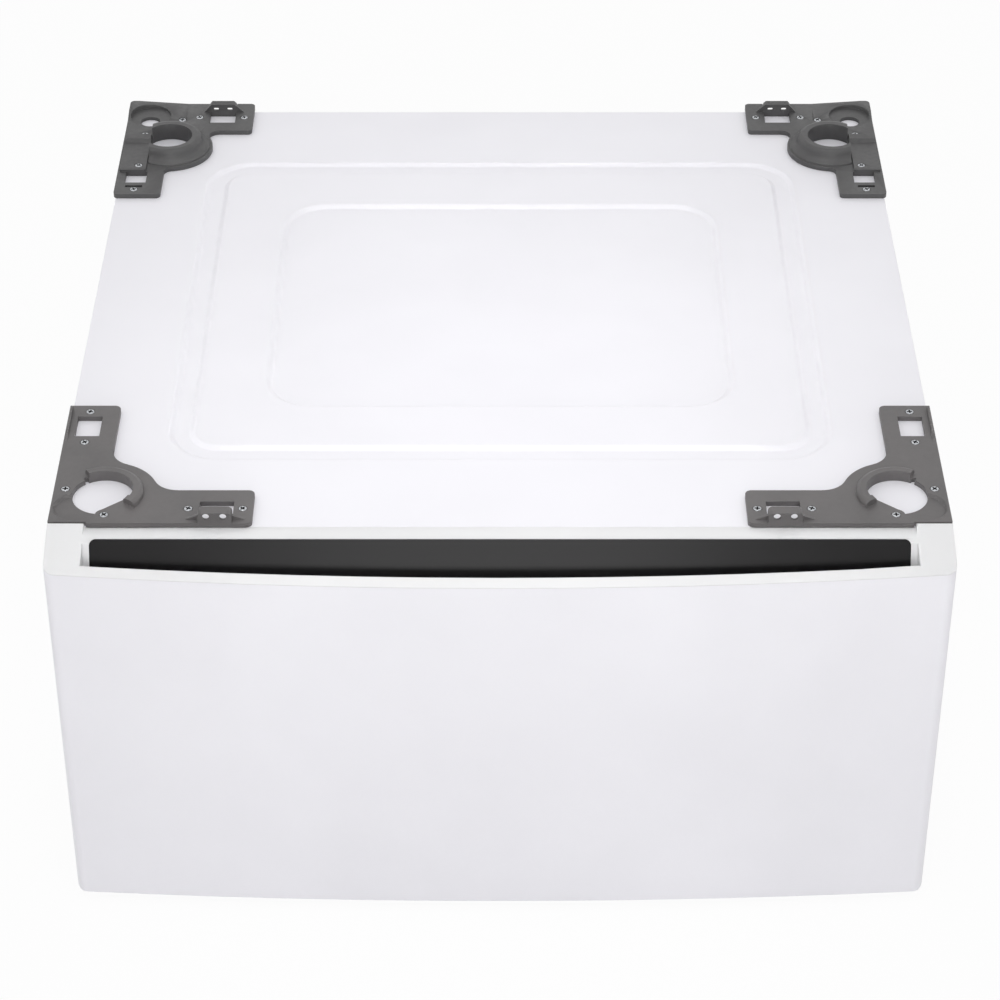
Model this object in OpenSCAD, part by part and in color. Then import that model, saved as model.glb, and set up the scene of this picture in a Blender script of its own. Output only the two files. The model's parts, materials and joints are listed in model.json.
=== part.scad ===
// Laundry pedestal with one full-width storage drawer.
// Millimetres. X runs across, Y from front to back, Z up from the floor.
// The origin is on the floor under the middle of the pedestal.
// Distances named "back" or "y" are counted from the foremost point of the bowed drawer front.

/* [Overall] */
// Width across the drawer front
front_w = 686; // [676:1:700]
// Width across the steel cabinet
cabinet_w = 682; // [672:1:690]
// Depth from the middle of the bowed front to the rear edge of the rear foot brackets
overall_d = 721; // [715:1:740]
// Height of the deck's flat top above the floor
deck_z = 341; // [335:1:350]
// Thickness of the cabinet's sheet steel
sheet = 1.2; // [1:0.1:1.6]

/* [Drawer front] */
// How far the middle of the front stands ahead of its corners
bow = 12; // [6:1:16]
// Radius of the front's upright corners
corner_r = 9; // [7:1:12]
// Height of the front's lower edge above the floor
front_bottom_z = 8; // [5:1:15]
// Height of the crease between the front face and the sloped top, at the middle
crease_z = 325.2; // [322:0.2:327]
// Slope of the front's top, in degrees
top_slope = 18.9; // [17:0.1:20]
// Depth of the drawer front from its foremost point to its rear face
front_back = 56.2; // [55:0.1:58]

/* [Handle recess] */
// Half width of the recess between the two corner posts
recess_x = 315; // [300:1:318]
// Width of the lip that the fingers pull on
lip_w = 9.5; // [8:0.5:12]
// Distance from the front to the upper edge of the gloss strip
strip_y = 40.2; // [38:0.1:42]
// Width of the gloss strip, along its slope
strip_w = 25.3; // [22:0.1:28]
// Slope of the gloss strip, in degrees
strip_slope = 62; // [58:1:66]
// Height of the pocket's floor
pocket_z = 297; // [290:1:305]

/* [Deck] */
// Depth of the channel and of the middle panel that are pressed into the deck
press_depth = 3; // [1.5:0.5:4]
// Width of the channel across its two sloped walls
channel_w = 20; // [14:1:26]
// Distance from the front to the middle of the pressed figure
figure_y = 382; // [375:1:390]

/* [Foot brackets] */
// Thickness of the bracket plates
plate_t = 4.4; // [4:0.1:5]
// Radius of a front foot hole
front_seat_r = 23.5; // [22.5:0.5:24.5]
// Inside radius of a rear foot collar
rear_seat_r = 21; // [19:0.5:21.5]
// Height of a rear collar above the deck
rear_collar_h = 15.8; // [12:0.1:18]

/* [Slides] */
// Length of each slide member
slide_len = 550; // [540:5:560]
// Height of the slides' centre line
slide_z = 140; // [120:1:160]
// Half height of the fixed slide member
slide_half = 22.8; // [22.8:0.1:24]

/* [Drawer tray] */
// Outside width of the tray
tray_w = 574; // [570:1:574]
// Length of the tray behind the front
tray_len = 556; // [550:1:565]
// Height of the tray's floor
tray_floor_z = 62; // [58:1:70]
// Height of the tray's upper rim
tray_top_z = 262; // [230:1:275]

/* [Feet] */
// Radius of a foot's pad
foot_r = 22; // [18:0.5:24]
// Radius of the foot's screw
stud_r = 6; // [5:0.5:8]
// Distance of the feet from the centre plane
foot_x = 305; // [300:1:308]
// Distances of the front and rear feet from the front
foot_y = [98, 666]; // [96:1:668]

/* [Hidden] */
$fn = 48;

white_paint = "#eeeef0";
white_plastic = "#ebebed";
bracket_grey = "#646364";
gloss_black = "#3a383a";
galvanised = "#b4b7ba";
zinc = "#c9cbcd";
rubber_black = "#2b2b2c";

front_y = -overall_d / 2;
side_x = cabinet_w / 2;
cabinet_y = front_back + 1.5;
deck_back = overall_d - 8;
base_z = 20;
eps = 0.01;

// Arc of the bowed front, seen from above: its radius and the centres of the corner rounds
bow_r = (pow(front_w / 2, 2) + bow * bow) / (2 * bow);
corner_x = front_w / 2 - corner_r;
corner_y = bow_r - sqrt(pow(bow_r - corner_r, 2) - corner_x * corner_x);

function back(y) = front_y + y;
function crease_plane(y) = crease_z + tan(top_slope) * y;

module both_sides() {
    children();
    mirror([1, 0, 0]) children();
}

// Stretches a (y, z) outline along X, centred on the middle plane
module along_x(width) {
    translate([-width / 2, 0, 0])
        rotate([90, 0, 90]) linear_extrude(width) children();
}

// Stretches an (x, z) outline along Y, from y0 to y1 behind the front
module along_y(y0, y1) {
    translate([0, back(y1), 0]) rotate([90, 0, 0]) linear_extrude(y1 - y0) children();
}

module box(x0, x1, y0, y1, z0, z1) {
    translate([x0, back(y0), z0]) cube([x1 - x0, y1 - y0, z1 - z0]);
}

module rounded_rect(half, r) {
    square([2 * half[0], 2 * (half[1] - r)], center = true);
    square([2 * (half[0] - r), 2 * half[1]], center = true);
    for (sx = [-1, 1], sy = [-1, 1])
        translate([sx * (half[0] - r), sy * (half[1] - r)]) circle(r);
}

// ---------------------------------------------------------------- drawer front

// Plan of the bowed front, set in by `inset` and ending `depth` behind the foremost point
module bowed_plan(inset, depth) {
    arc_r = bow_r - inset;
    tangent_x = corner_x * arc_r / (bow_r - corner_r);
    half = front_w / 2 - inset;
    intersection() {
        translate([0, bow_r]) circle(arc_r, $fn = 1440);
        translate([-tangent_x, 0]) square([2 * tangent_x, depth]);
    }
    translate([-half, corner_y]) square([2 * half, depth - corner_y]);
    for (s = [-1, 1]) translate([s * corner_x, corner_y]) circle(corner_r - inset);
}

// Space behind the front arc at a given offset, open to the rear
module behind_arc(inset, half, depth) {
    intersection() {
        translate([0, bow_r]) circle(bow_r - inset, $fn = 1440);
        translate([-half, 0]) square([2 * half, depth]);
    }
}

seam_drop = 1;
bottom_round = 5;
return_w = 14;

// The bowed block under the seam between panel and cap
module front_block(inset, depth, bottom, rise) {
    seam = rise - seam_drop;
    intersection() {
        translate([0, front_y, 0]) linear_extrude(deck_z + 20) bowed_plan(inset, depth);
        translate([0, front_y, 0]) along_x(front_w + 2) polygon([
            [-1, bottom], [depth + 1, bottom],
            [depth + 1, crease_plane(depth + 1) + seam], [-1, crease_plane(-1) + seam]
        ]);
    }
}

module bottom_corner_cut() {
    round_z = front_bottom_z + bottom_round;
    both_sides() difference() {
        box(front_w / 2 - bottom_round, front_w / 2 + 2, -1, front_back + 1,
            front_bottom_z - 1, round_z);
        translate([front_w / 2 - bottom_round, back(front_back + 2), round_z])
            rotate([90, 0, 0]) cylinder(h = front_back + 4, r = bottom_round);
    }
}

module front_panel() {
    color(white_paint) difference() {
        union() {
            difference() {
                front_block(0, front_back, front_bottom_z, 0);
                front_block(sheet, front_back + 2, front_bottom_z + sheet, 5);
            }
            // returns that the inner plate is fixed to
            both_sides() box(front_w / 2 - sheet - return_w, front_w / 2 - sheet + eps,
                front_back - 2 * sheet, front_back - sheet,
                front_bottom_z + bottom_round, cap_skirt_z - 1);
        }
        bottom_corner_cut();
    }
}

cap_t = 3;
cap_wall = 2.5;
arc_gap = sheet + 0.5;
strip_t = 2;
strip_top = [strip_y, deck_z];
strip_low = [strip_y - strip_w * cos(strip_slope), deck_z - strip_w * sin(strip_slope)];
pocket_back = strip_low[0] - 3;
cap_skirt_z = 286;

// Side profile of the recess: level band, gloss strip's slope, then the finger pocket
module recess_profile() {
    polygon([
        [front_back + 1, deck_z], strip_top, strip_low,
        [pocket_back, pocket_z + 6], [pocket_back - 6, pocket_z], [-5, pocket_z],
        [-5, deck_z + 20], [front_back + 1, deck_z + 20]
    ]);
}

module recess_shell_profile() {
    wall = strip_t + cap_wall;
    shift = [wall * sin(strip_slope), -wall * cos(strip_slope)];
    polygon([
        [front_back, crease_plane(front_back)], [front_back, deck_z - cap_t],
        strip_top + [shift[0], -cap_t], strip_low + shift,
        [pocket_back + cap_wall, pocket_z + 5], [pocket_back - 5, pocket_z - cap_wall],
        [-5, pocket_z - cap_wall], [-5, crease_plane(-5)]
    ]);
}

// Sloped top sheet: a thin rim over the steel panel's edge and a thicker field inside it
module cap_sheet() {
    difference() {
        intersection() {
            translate([0, front_y, 0]) linear_extrude(deck_z + 20) bowed_plan(0, front_back);
            translate([0, front_y, 0]) along_x(front_w + 2) polygon([
                [-1, crease_plane(-1)], [-1, crease_plane(-1) - seam_drop],
                [front_back + 1, crease_plane(front_back + 1) - seam_drop],
                [front_back + 1, crease_plane(front_back + 1)]
            ]);
        }
        recess_opening();
    }
    difference() {
        intersection() {
            translate([0, front_y, 0])
                linear_extrude(deck_z + 20) bowed_plan(sheet + 0.2, front_back);
            translate([0, front_y, 0]) along_x(front_w + 2) polygon([
                [-1, crease_plane(-1) - 0.5], [-1, crease_plane(-1) - cap_t],
                [front_back + 1, crease_plane(front_back + 1) - cap_t],
                [front_back + 1, crease_plane(front_back + 1) - 0.5]
            ]);
        }
        recess_opening();
    }
}

module recess_opening() {
    translate([0, front_y, crease_z - 20])
        linear_extrude(60) behind_arc(lip_w, recess_x, front_back + 2);
}

module top_cap() {
    color(white_plastic) {
        cap_sheet();
        difference() {
            intersection() {
                translate([0, front_y, 0]) linear_extrude(deck_z + 20)
                    behind_arc(arc_gap, recess_x + cap_wall, front_back);
                translate([0, front_y, 0])
                    along_x(2 * (recess_x + cap_wall)) recess_shell_profile();
            }
            intersection() {
                translate([0, front_y, 0]) linear_extrude(deck_z + 40)
                    behind_arc(arc_gap + cap_wall, recess_x, front_back + 2);
                translate([0, front_y, 0]) along_x(2 * recess_x) recess_profile();
            }
            strip_plate();
        }
        // rear wall, with the posts' closed backs
        difference() {
            box(-front_w / 2 + sheet + 0.2, front_w / 2 - sheet - 0.2,
                front_back - cap_wall, front_back, cap_skirt_z, deck_z + 10);
            translate([0, front_y, 0]) along_x(front_w + 2) polygon([
                [0, crease_plane(0) - 0.5], [front_back + 1, crease_plane(front_back + 1) - 0.5],
                [front_back + 1, deck_z + 30], [0, deck_z + 30]
            ]);
            box(-recess_x, recess_x, 0, front_back + 1, deck_z, deck_z + 30);
        }
        // upright ribs that stiffen the posts and the pocket
        for (x = [-325, -180, 0, 180, 325])
            box(x - 1, x + 1, pocket_back + 8, front_back - cap_wall + eps,
                cap_skirt_z, pocket_z + 18);
    }
}

strip_half = recess_x - 5;
strip_round = 5;

module strip_plate() {
    translate([0, back(strip_low[0]), strip_low[1]]) rotate([strip_slope, 0, 0])
        translate([0, 0, -strip_t]) linear_extrude(strip_t) {
            translate([-strip_half, 0]) square([2 * strip_half, strip_w - strip_round]);
            translate([-strip_half + strip_round, 0])
                square([2 * (strip_half - strip_round), strip_w]);
            for (s = [-1, 1])
                translate([s * (strip_half - strip_round), strip_w - strip_round])
                    circle(strip_round);
        }
}

module handle_strip() {
    color(gloss_black) strip_plate();
}

inner_plate_top = cap_skirt_z;

module front_inner_plate() {
    half = front_w / 2 - sheet - 1.5;
    color(galvanised) difference() {
        union() {
            box(-half, half, front_back - sheet, front_back,
                front_bottom_z + 4, inner_plate_top);
            // folded stiffening flange along the lower edge
            box(-half + 20, half - 20, front_back - 16, front_back - sheet + eps,
                front_bottom_z + 4, front_bottom_z + 4 + sheet);
        }
        for (p = front_screw_places) front_screw_hole(p);
    }
}

// ---------------------------------------------------------------- drawer tray

tray_x = tray_w / 2;
tray_end = front_back + tray_len;
rim_r = 4;
tab_w = 16;
front_screw_places = [for (x = [-tray_x + 9, tray_x - 9], z = [90, 165, 240]) [x, z]];
screw_r = 2;

module front_screw_hole(p) {
    translate([p[0], back(front_back + 5), p[1]])
        rotate([90, 0, 0]) cylinder(h = 10, r = screw_r + 0.15);
}

// Side of the tray: web, rolled rim, foot flange under the floor and a tab at the front
module tray_side() {
    color(galvanised) difference() {
        union() {
            along_y(front_back, tray_end) {
                translate([-tray_x, tray_floor_z - sheet])
                    square([sheet, tray_top_z - tray_floor_z + sheet]);
                translate([-tray_x, tray_floor_z - sheet]) square([22, sheet]);
                translate([-tray_x + rim_r, tray_top_z]) difference() {
                    circle(rim_r);
                    circle(rim_r - sheet);
                }
            }
            box(-tray_x, -tray_x + tab_w + 2, front_back, front_back + sheet,
                tray_floor_z, tray_top_z - 8);
        }
        for (p = front_screw_places) front_screw_hole(p);
    }
}

module tray_side_left() { tray_side(); }
module tray_side_right() { mirror([1, 0, 0]) tray_side(); }

// Floor sheet with pressed lengthwise ribs and a folded front edge
module tray_floor() {
    half = tray_x - sheet - 0.2;
    rib_w = 22;
    rib_h = 3;
    color(galvanised) {
        difference() {
            box(-half, half, front_back + sheet, tray_end - sheet,
                tray_floor_z, tray_floor_z + sheet);
            for (x = [-180, -90, 0, 90, 180])
                box(x - rib_w / 2 + sheet, x + rib_w / 2 - sheet,
                    front_back + 40, tray_end - 40, tray_floor_z - 1, tray_floor_z + 2);
        }
        for (x = [-180, -90, 0, 90, 180])
            along_y(front_back + 40, tray_end - 40) translate([x, tray_floor_z]) polygon([
                [-rib_w / 2, 0], [-rib_w / 2 + 3, rib_h], [rib_w / 2 - 3, rib_h],
                [rib_w / 2, 0], [rib_w / 2, sheet], [rib_w / 2 - 3, rib_h + sheet],
                [-rib_w / 2 + 3, rib_h + sheet], [-rib_w / 2, sheet]
            ]);
        box(-half + 20, half - 20, front_back + 0.1, front_back + sheet + eps,
            tray_floor_z, tray_floor_z + 24);
    }
}

module tray_back() {
    half = tray_x - sheet - 0.2;
    color(galvanised) {
        box(-half, half, tray_end - sheet, tray_end, tray_floor_z, tray_top_z - rim_r);
        // ends folded forward along the side sheets
        both_sides() box(half - sheet, half, tray_end - 16, tray_end - sheet + eps,
            tray_floor_z + sheet + 0.2, tray_top_z - 12);
        translate([0, back(tray_end - rim_r), tray_top_z - rim_r])
            rotate([0, 90, 0]) difference() {
                cylinder(h = 2 * half - 16, r = rim_r, center = true);
                cylinder(h = 2 * half, r = rim_r - sheet, center = true);
            }
    }
}

module tray_screws() {
    color(zinc) for (p = front_screw_places)
        translate([p[0], back(front_back + sheet), p[1]]) {
            rotate([-90, 0, 0]) cylinder(h = 2, r = 4);
            rotate([90, 0, 0]) cylinder(h = 8, r = screw_r);
        }
}

// ---------------------------------------------------------------- slides

// Slide sections are drawn for the left side as [inward from the mount's face, height]
slide_start = front_back + 4;
slide_thick = 12.7;
slide_x = tray_x + slide_thick;
rivet_places = [40, 270, 500];
outer_ball_r = 1.8;
outer_ball = [5.4, 19.55];
inner_ball_r = 1.5;
inner_ball = [6.9, 14.75];

module slide_section(y0, length) {
    translate([-slide_x, 0, slide_z]) along_y(y0, y0 + length) children();
}

// A rolled channel: web at `u`, flanges of half height `h`, lips turned inward by `lip`
module channel(u, reach, h, t, lip) {
    translate([u, -h]) square([t, 2 * h]);
    for (s = [0, 1]) mirror([0, s]) {
        translate([u, h - t]) square([reach, t]);
        translate([u + reach - t, h - t - lip]) square([t, lip + eps]);
    }
}

module rivet_hole(y) {
    translate([-slide_x - 6, back(slide_start + y), slide_z])
        rotate([0, 90, 0]) cylinder(h = 8, r = screw_r + 0.15);
}

module slide_outer() {
    color(zinc) difference() {
        slide_section(slide_start, slide_len) channel(0, 10.5, slide_half, 1.3, 2.2);
        for (y = rivet_places) rivet_hole(y);
    }
}

module slide_middle() {
    color(zinc) slide_section(slide_start, slide_len) channel(2.2, 8.4, 17.6, 1.2, 2);
}

lever_y = 190;
lever_pin_r = 2;

module slide_inner() {
    color(zinc) difference() {
        slide_section(slide_start - 2, slide_len) mirror([1, 0]) translate([-slide_thick, 0])
            channel(0, 8.2, 13.1, 1.2, 0);
        // holes of the fixing screws
        for (y = rivet_places) translate([-tray_x - 2, back(slide_start + y), slide_z])
            rotate([0, 90, 0]) cylinder(h = 3, r = 2.5);
    }
}

module slide_outer_left() { slide_outer(); }
module slide_outer_right() { mirror([1, 0, 0]) slide_outer(); }
module slide_middle_left() { slide_middle(); }
module slide_middle_right() { mirror([1, 0, 0]) slide_middle(); }
module slide_inner_left() { slide_inner(); }
module slide_inner_right() { mirror([1, 0, 0]) slide_inner(); }

// Ball cage: web and two strips with a round pocket for each ball
cage_len = 200;
ball_count = 9;
ball_pitch = 22;

module ball_places(y0, ball) {
    for (i = [0 : ball_count - 1], s = [-1, 1])
        translate([-slide_x + ball[0], back(y0 + 12 + i * ball_pitch), slide_z + s * ball[1]])
            children();
}

module cage(y0, ball, ball_r, web_u) {
    color(galvanised) difference() {
        slide_section(y0, cage_len) {
            translate([web_u, -ball[1]]) square([0.4, 2 * ball[1]]);
            for (s = [-1, 1]) translate([web_u, s * ball[1] - 0.35])
                square([ball[0] + ball_r + 0.6 - web_u, 0.7]);
        }
        ball_places(y0, ball) cylinder(h = 3, r = ball_r + 0.15, center = true);
    }
}

module balls(y0, ball, ball_r) {
    color("silver") ball_places(y0, ball) sphere(ball_r, $fn = 24);
}

outer_cage_y = slide_start + 128;
inner_cage_y = slide_start + 168;

module outer_cage_left() { cage(outer_cage_y, outer_ball, outer_ball_r, 1.55); }
module outer_cage_right() { mirror([1, 0, 0]) outer_cage_left(); }
module inner_cage_left() { cage(inner_cage_y, inner_ball, inner_ball_r, 3.7); }
module inner_cage_right() { mirror([1, 0, 0]) inner_cage_left(); }
module outer_balls_left() { balls(outer_cage_y, outer_ball, outer_ball_r); }
module outer_balls_right() { mirror([1, 0, 0]) outer_balls_left(); }
module inner_balls_left() { balls(inner_cage_y, inner_ball, inner_ball_r); }
module inner_balls_right() { mirror([1, 0, 0]) inner_balls_left(); }

// Release lever in the inner member, turning on a pin near its middle
module release_lever() {
    color(rubber_black) translate([-tray_x - 1.5, back(slide_start + lever_y), slide_z])
        rotate([0, -90, 0]) difference() {
            linear_extrude(2.4) {
                circle(5.5);
                translate([-2.5, -34]) square([5, 68]);
                translate([0, -34]) circle(4);
                translate([-4.5, 28]) square([9, 9]);
            }
            translate([0, 0, -1]) cylinder(h = 5, r = lever_pin_r + 0.1);
        }
}

module release_lever_left() { release_lever(); }
module release_lever_right() { mirror([1, 0, 0]) release_lever(); }

module lever_pins() {
    color(zinc) both_sides()
        translate([-tray_x - 1.2, back(slide_start + lever_y), slide_z]) rotate([0, -90, 0]) {
            cylinder(h = 3, r = lever_pin_r);
            translate([0, 0, 2.9]) cylinder(h = 0.8, r = lever_pin_r + 1.5);
        }
}

// Hat rail that carries the fixed slide member off the side panel
module slide_mount() {
    t = 1.5;
    web = 36;
    foot = 14;
    outer_x = side_x - sheet;
    color(galvanised) difference() {
        union() {
            translate([0, 0, slide_z]) along_y(upright_back + 1, rear_upright_y - 1) {
                translate([-slide_x - t, -web]) square([t, 2 * web]);
                for (s = [0, 1]) mirror([0, s]) {
                    translate([-outer_x, web - t]) square([outer_x - slide_x, t]);
                    translate([-outer_x, web - t]) square([t, foot]);
                }
            }
            translate([0, 0, slide_z]) along_y(cabinet_y + 4, rear_sheet_y - 10)
                translate([-slide_x - t, -web]) square([t, 2 * web]);
        }
        for (y = rivet_places) rivet_hole(y);
    }
}

module slide_mount_left() { slide_mount(); }
module slide_mount_right() { mirror([1, 0, 0]) slide_mount(); }

module slide_rivets() {
    color(zinc) both_sides() for (y = rivet_places)
        translate([-slide_x - 1.5, back(slide_start + y), slide_z]) rotate([0, 90, 0]) {
            translate([0, 0, -2]) cylinder(h = 2, r = 4);
            cylinder(h = 2.6, r = screw_r);
        }
}

// ---------------------------------------------------------------- cabinet

flange = 20;
deck_under = deck_z - sheet;
upright_back = cabinet_y + 28;
rear_upright_y = overall_d - 42;
lap_x = slide_x + 1.5;
rear_sheet_y = deck_back - 2 * sheet;

// Side sheet with folded front, rear and lower edges
module side_panel() {
    color(white_paint) difference() {
        union() {
            box(-side_x, -side_x + sheet, cabinet_y, rear_sheet_y, base_z, deck_under);
            box(-side_x, -side_x + flange, cabinet_y, cabinet_y + sheet, base_z, deck_under);
            box(-side_x, -side_x + flange, rear_sheet_y - sheet, rear_sheet_y,
                base_z, deck_under);
            box(-side_x, -side_x + flange, cabinet_y, rear_sheet_y, base_z, base_z + sheet);
        }
        back_screw_holes();
    }
}

module side_panel_left() { side_panel(); }
module side_panel_right() { mirror([1, 0, 0]) side_panel(); }

// Back sheet with two pressed ribs across it
module back_panel() {
    rib = 8;
    zs = [base_z + 2, 95, 95 + 3 * rib, 235, 235 + 3 * rib, deck_under - 2];
    color(white_paint) difference() {
        translate([0, back(rear_sheet_y), 0]) along_x(cabinet_w - 4) polygon([
            [0, zs[0]], [0, zs[1]], [-rib, zs[1] + rib], [-rib, zs[2] - rib], [0, zs[2]],
            [0, zs[3]], [-rib, zs[3] + rib], [-rib, zs[4] - rib], [0, zs[4]], [0, zs[5]],
            [sheet, zs[5]], [sheet, zs[4]], [sheet - rib, zs[4] - rib],
            [sheet - rib, zs[3] + rib], [sheet, zs[3]], [sheet, zs[2]],
            [sheet - rib, zs[2] - rib], [sheet - rib, zs[1] + rib], [sheet, zs[1]],
            [sheet, zs[0]]
        ]);
        // the ribs stop short of the side panels' folded edges
        both_sides() box(side_x - flange - 3, side_x + 1, rear_sheet_y - rib - 1, rear_sheet_y,
            base_z, deck_under);
        back_screw_holes();
    }
    // flat ends of the ribbed bands
    color(white_paint) both_sides() for (z = [zs[1], zs[3]])
        box(side_x - flange - 4, side_x - 2, rear_sheet_y, rear_sheet_y + sheet, z, z + 3 * rib);
}

back_screw_places = [for (x = [-side_x + 12, side_x - 12], z = [50, 180, 310]) [x, z]];

module back_screw_holes() {
    for (p = back_screw_places) translate([p[0], back(rear_sheet_y + 5), p[1]])
        rotate([90, 0, 0]) cylinder(h = 12, r = screw_r + 0.15);
}

module panel_screws() {
    color(zinc) for (p = back_screw_places)
        translate([p[0], back(rear_sheet_y + sheet), p[1]]) {
            rotate([-90, 0, 0]) cylinder(h = 1.8, r = 4);
            rotate([90, 0, 0]) cylinder(h = 10, r = screw_r);
        }
}

// Runs a section around a rounded rectangle; x is outward from its edge, y is height
module around(half, r) {
    for (q = [0 : 3]) rotate(90 * q) {
        run = q % 2 == 0 ? half : [half[1], half[0]];
        translate([run[0], 0, 0]) rotate([90, 0, 0])
            linear_extrude(2 * (run[1] - r), center = true) children();
        translate([run[0] - r, run[1] - r, 0])
            rotate_extrude(angle = 90, $fn = 96) translate([r, 0]) children();
    }
}

// Half width and half depth of the channel's outer edge and of the sunk middle panel
channel_half = [262, 236];
channel_r = 42;
panel_half = [189, 161];
panel_r = 38;
wall_run = 4;

// Section of a sheet that steps down inward by the pressed depth
module step_section(dir) {
    polygon([
        [0, 0], [-dir * wall_run, -press_depth], [-dir * wall_run, -press_depth - sheet],
        [0, -sheet]
    ]);
}

module top_deck() {
    inner = [channel_half[0] - channel_w, channel_half[1] - channel_w];
    deck_mid = (cabinet_y + deck_back) / 2;
    color(white_paint) difference() {
        union() {
            // flat field outside the channel, and between channel and middle panel
            difference() {
                box(-side_x, side_x, cabinet_y, deck_back, deck_under, deck_z);
                translate([0, back(figure_y), deck_under - 1]) linear_extrude(sheet + 2)
                    rounded_rect(channel_half, channel_r);
            }
            translate([0, back(figure_y), deck_under]) linear_extrude(sheet) difference() {
                rounded_rect(inner, channel_r - channel_w);
                rounded_rect(panel_half, panel_r);
            }
            // floors of the channel and of the middle panel
            translate([0, back(figure_y), deck_under - press_depth]) linear_extrude(sheet) {
                difference() {
                    rounded_rect(channel_half - [wall_run, wall_run], channel_r - wall_run);
                    rounded_rect(inner + [wall_run, wall_run],
                        channel_r - channel_w + wall_run);
                }
                rounded_rect(panel_half - [wall_run, wall_run], panel_r - wall_run);
            }
            // sloped walls
            translate([0, back(figure_y), deck_z]) {
                around(channel_half, channel_r) step_section(1);
                around(inner, channel_r - channel_w) step_section(-1);
                around(panel_half, panel_r) step_section(1);
            }
            // folded edges: outside at the back, behind the posts' gap at the front,
            // and inside the side panels
            box(-side_x, side_x, deck_back - sheet, deck_back, deck_z - 18, deck_under + eps);
            box(-side_x + flange + 1, side_x - flange - 1, cabinet_y, cabinet_y + sheet,
                deck_z - 18, deck_under + eps);
            both_sides() box(side_x - 2 * sheet, side_x - sheet,
                cabinet_y + 2 * sheet, rear_sheet_y - 2 * sheet, deck_z - 16, deck_under + eps);
        }
        bracket_screw_holes(deck_z - 30, 40);
    }
}

// Hat sections that carry the deck, welded under its middle panel and channel
module deck_stiffeners() {
    top = deck_under - press_depth;
    color(galvanised) for (y = [270, 494]) translate([0, back(y), 0])
        along_x(2 * channel_half[0]) polygon([
            [-46, top], [-24, top], [-20, top - 22], [20, top - 22], [24, top], [46, top],
            [46, top - 1.2], [25, top - 1.2], [21, top - 23.2], [-21, top - 23.2],
            [-25, top - 1.2], [-46, top - 1.2]
        ]);
}

// Corner post of the cabinet: a channel whose inner leg laps the slide mount
module front_upright() {
    z0 = base_z + sheet + gusset_t;
    color(galvanised) translate([0, 0, z0]) linear_extrude(deck_under - 17 - z0) {
        x0 = side_x - sheet;
        y0 = back(cabinet_y + sheet);
        translate([-x0, y0]) square([x0 - lap_x, 1.5]);
        translate([-x0, y0]) square([1.5, 27]);
        translate([-lap_x - 1.5, y0]) square([1.5, 27]);
    }
}

module rear_upright() {
    z0 = base_z + sheet + gusset_t;
    color(galvanised) translate([0, 0, z0]) linear_extrude(deck_under - 17 - z0) {
        x0 = side_x - sheet;
        y1 = back(rear_sheet_y - sheet - 8.2);
        translate([-x0, y1 - 1.5]) square([x0 - lap_x, 1.5]);
        translate([-x0, y1 - 20]) square([1.5, 20]);
        translate([-lap_x - 1.5, y1 - 20]) square([1.5, 20]);
    }
}

module front_upright_left() { front_upright(); }
module front_upright_right() { mirror([1, 0, 0]) front_upright(); }
module rear_upright_left() { rear_upright(); }
module rear_upright_right() { mirror([1, 0, 0]) rear_upright(); }

// Cross rails between the base corners
module lower_rail(y, dir) {
    z0 = base_z + sheet + gusset_t;
    half = foot_x - nut_flats;
    color(galvanised) translate([0, back(y), z0]) scale([1, dir, 1]) along_x(2 * half) polygon([
        [0, 0], [26, 0], [26, 1.5], [1.5, 1.5], [1.5, 26.5], [16, 26.5], [16, 28], [0, 28]
    ]);
}

module lower_front_rail() { lower_rail(cabinet_y + 32, 1); }
module lower_rear_rail() { lower_rail(rear_sheet_y - 34, -1); }

gusset_t = 3;

module at_feet() {
    for (y = foot_y, s = [-1, 1]) translate([s * foot_x, back(y), 0]) children();
}

// Corner plates on the side panels' lower flanges, bored for the feet
module base_gussets() {
    x1 = side_x - sheet;
    z = base_z + sheet;
    color(galvanised) difference() {
        union() {
            both_sides() box(x1 - 76, x1, cabinet_y + sheet, cabinet_y + 72, z, z + gusset_t);
            both_sides() box(x1 - 76, x1, rear_sheet_y - 72, rear_sheet_y - sheet,
                z, z + gusset_t);
        }
        at_feet() cylinder(h = 60, r = stud_r + 1);
    }
}

nut_flats = 18;

module foot_nuts() {
    z = base_z + sheet + gusset_t;
    color(zinc) at_feet() translate([0, 0, z]) difference() {
        cylinder(h = 10, r = nut_flats / sqrt(3), $fn = 6);
        translate([0, 0, -1]) cylinder(h = 12, r = stud_r);
    }
}

module lock_nuts() {
    color(zinc) at_feet() translate([0, 0, base_z + sheet - 6]) difference() {
        cylinder(h = 6, r = nut_flats / sqrt(3), $fn = 6);
        translate([0, 0, -1]) cylinder(h = 8, r = stud_r);
    }
}

// ---------------------------------------------------------------- feet

module foot_pad() {
    color(rubber_black) rotate_extrude() polygon([
        [0, 0], [foot_r - 1.5, 0], [foot_r, 1.5], [foot_r, 4], [foot_r - 2, 5.5],
        [foot_r - 9, 7], [12, 9.5], [0, 9.5]
    ]);
}

module foot_stud() {
    color(zinc) {
        translate([0, 0, 9.5]) cylinder(h = 5, r = nut_flats / sqrt(3), $fn = 6);
        translate([0, 0, 14]) cylinder(h = 46, r = stud_r - 0.1);
    }
}

module at_foot(side, row) { translate([side * foot_x, back(foot_y[row]), 0]) children(); }

module foot_pad_front_left() { at_foot(-1, 0) foot_pad(); }
module foot_pad_front_right() { at_foot(1, 0) foot_pad(); }
module foot_pad_rear_left() { at_foot(-1, 1) foot_pad(); }
module foot_pad_rear_right() { at_foot(1, 1) foot_pad(); }
module foot_stud_front_left() { at_foot(-1, 0) foot_stud(); }
module foot_stud_front_right() { at_foot(1, 0) foot_stud(); }
module foot_stud_rear_left() { at_foot(-1, 1) foot_stud(); }
module foot_stud_rear_right() { at_foot(1, 1) foot_stud(); }

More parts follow.
